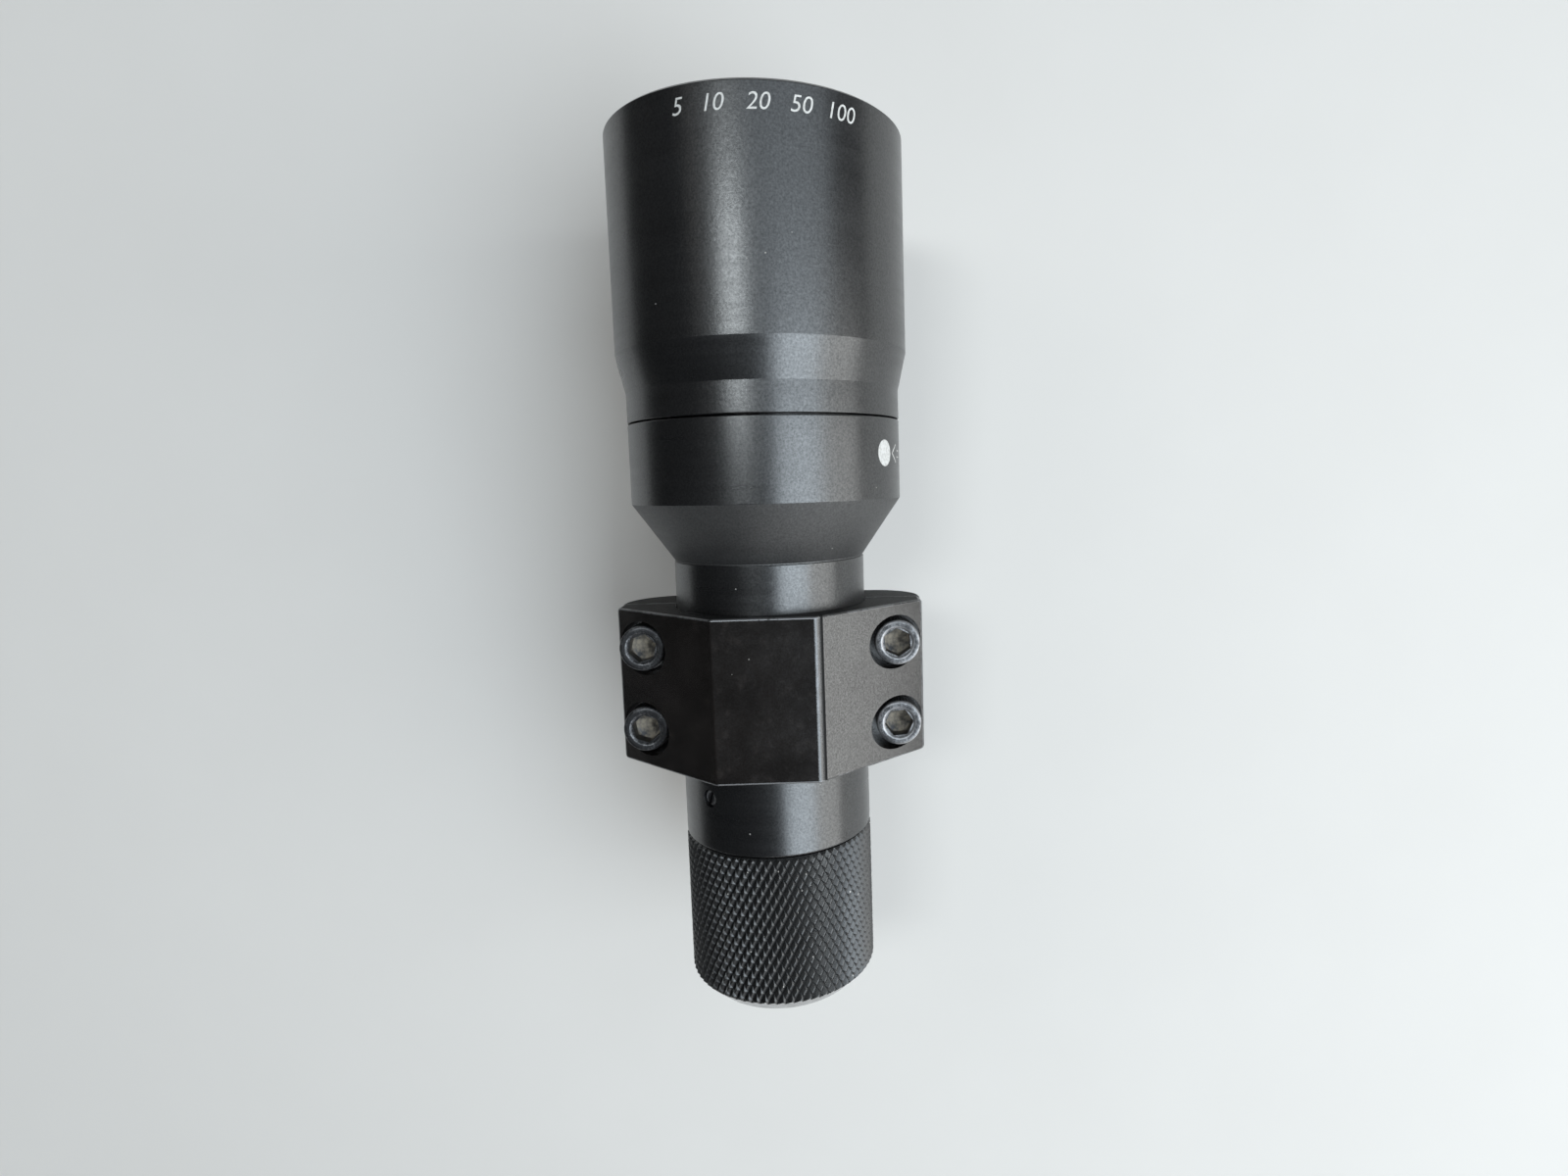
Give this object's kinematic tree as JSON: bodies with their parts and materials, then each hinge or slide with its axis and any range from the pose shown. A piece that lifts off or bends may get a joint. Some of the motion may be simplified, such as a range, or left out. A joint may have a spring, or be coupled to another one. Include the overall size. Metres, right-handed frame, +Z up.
{
  "type": "finder scope",
  "caption": "Small straight-through finder telescope with a turning focus bell and knurled dioptre barrel, held in a split ring clamp on a dovetail foot.",
  "frame": {"origin": "middle of the dovetail foot's flat underside, below the middle of the ring clamp", "axes": "+X along the optical axis towards the objective, +Z up, +Y to the left; the optical axis is 38 mm above the origin"},
  "size_m": [0.1321, 0.048, 0.0604],
  "materials": {
    "anodised_body": "satin black anodised, fine turned grain",
    "anodised_bell": "satin black anodised, fine turned grain",
    "anodised_knurl": "black anodised diamond knurl with worn crests",
    "anodised_clamp": "bead-blasted black anodised, worn bright edges",
    "anodised_foot": "black anodised, milled",
    "black_oxide_steel": "black oxide with worn grey tops",
    "flat_black": "matt black anodised",
    "brass_pin": "turned brass",
    "coated_glass": "polished, green-violet anti-reflection coating",
    "reticle_glass": "polished, etched cross-hair",
    "seal_rubber": "nitrile rubber"
  },
  "bodies": {
    "main_body": {"body_tube": "anodised_body", "front_baffle": "flat_black", "rear_baffle": "flat_black", "bell_retaining_ring": "anodised_body", "bell_seal_ring": "seal_rubber", "reticle_holder": "flat_black", "reticle_glass": "reticle_glass", "reticle_retaining_ring": "flat_black", "reticle_lock_ring": "flat_black", "reticle_set_screw": "black_oxide_steel", "barrel_retaining_ring": "anodised_body", "barrel_seal_ring": "seal_rubber", "clamp_cap": "anodised_clamp", "clamp_base": "anodised_clamp", "clamp_screw_front_left": "black_oxide_steel", "clamp_screw_front_right": "black_oxide_steel", "clamp_screw_rear_left": "black_oxide_steel", "clamp_screw_rear_right": "black_oxide_steel", "dovetail_foot": "anodised_foot", "foot_screw_front": "black_oxide_steel", "foot_screw_rear": "black_oxide_steel"},
    "focus_bell": {"focus_bell": "anodised_bell"},
    "objective_cell": {"objective_cell": "flat_black", "objective_flint_lens": "coated_glass", "objective_crown_lens": "coated_glass", "lens_spacer_ring": "flat_black", "objective_retaining_ring": "flat_black", "focus_guide_pin": "brass_pin"},
    "dioptre_barrel": {"dioptre_barrel": "anodised_knurl", "eye_ring": "anodised_body"},
    "eyepiece_cell": {"eyepiece_cell": "flat_black", "field_lens": "coated_glass", "eyepiece_spacer_tube": "flat_black", "eye_lens": "coated_glass", "eyepiece_retaining_ring": "flat_black", "dioptre_guide_pin": "brass_pin"}
  },
  "joints": [
    {"name": "focus_turn", "type": "hinge", "parent": "main_body", "child": "focus_bell", "pos_m": [0.045, 0, 0.038], "axis": [1, 0, 0], "range_deg": [-135, 135]},
    {"name": "objective_slide", "type": "slide", "parent": "main_body", "child": "objective_cell", "axis": [1, 0, 0], "range_m": [-0.003, 0.003]},
    {"name": "dioptre_turn", "type": "hinge", "parent": "main_body", "child": "dioptre_barrel", "pos_m": [-0.036, 0, 0.038], "axis": [1, 0, 0], "range_deg": [-135, 135]},
    {"name": "eyepiece_slide", "type": "slide", "parent": "main_body", "child": "eyepiece_cell", "axis": [1, 0, 0], "range_m": [-0.0025, 0.0025]}
  ],
  "couplings": [
    {"joint": "focus_turn", "follows": "objective_slide", "rad_per_m": 785.39},
    {"joint": "dioptre_turn", "follows": "eyepiece_slide", "rad_per_m": 942.47}
  ]
}
